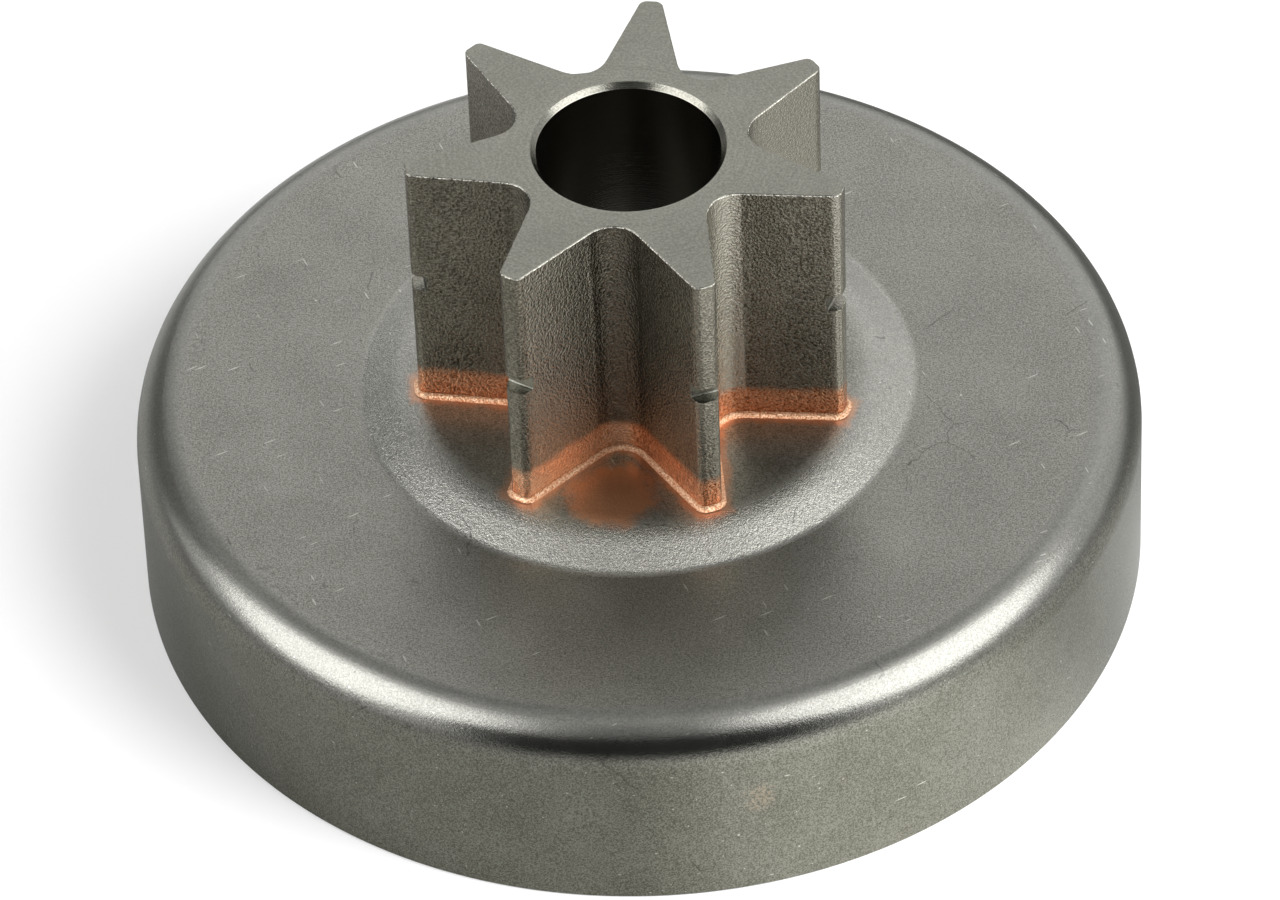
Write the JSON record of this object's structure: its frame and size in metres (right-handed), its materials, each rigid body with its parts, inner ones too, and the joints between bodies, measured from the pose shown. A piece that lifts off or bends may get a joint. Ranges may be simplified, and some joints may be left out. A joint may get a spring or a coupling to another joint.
{
  "type": "chainsaw spur sprocket",
  "caption": "Toothed spur sprocket with a plain bore, copper-brazed onto the raised boss of a pressed steel clutch drum.",
  "frame": {"origin": "middle of the drum's open rim, on the plane that the part stands on", "axes": "+Z along the bore, from the rim towards the ground end of the teeth; +Y through the middle of one tooth"},
  "size_m": [0.0784, 0.0784, 0.0405],
  "materials": {
    "drum_steel": "bare pressed steel, tumbled grey, with fine pits and hair scratches",
    "sprocket_steel": "case-hardened steel: blasted grainy flanks, ground end face, turned bore",
    "braze_copper": "bare copper, melted and set, satin to bright"
  },
  "bodies": {
    "root": {"clutch_drum": "drum_steel", "spur_sprocket": "sprocket_steel", "front_braze_bead": "braze_copper", "rear_braze_ring": "braze_copper"}
  },
  "joints": []
}
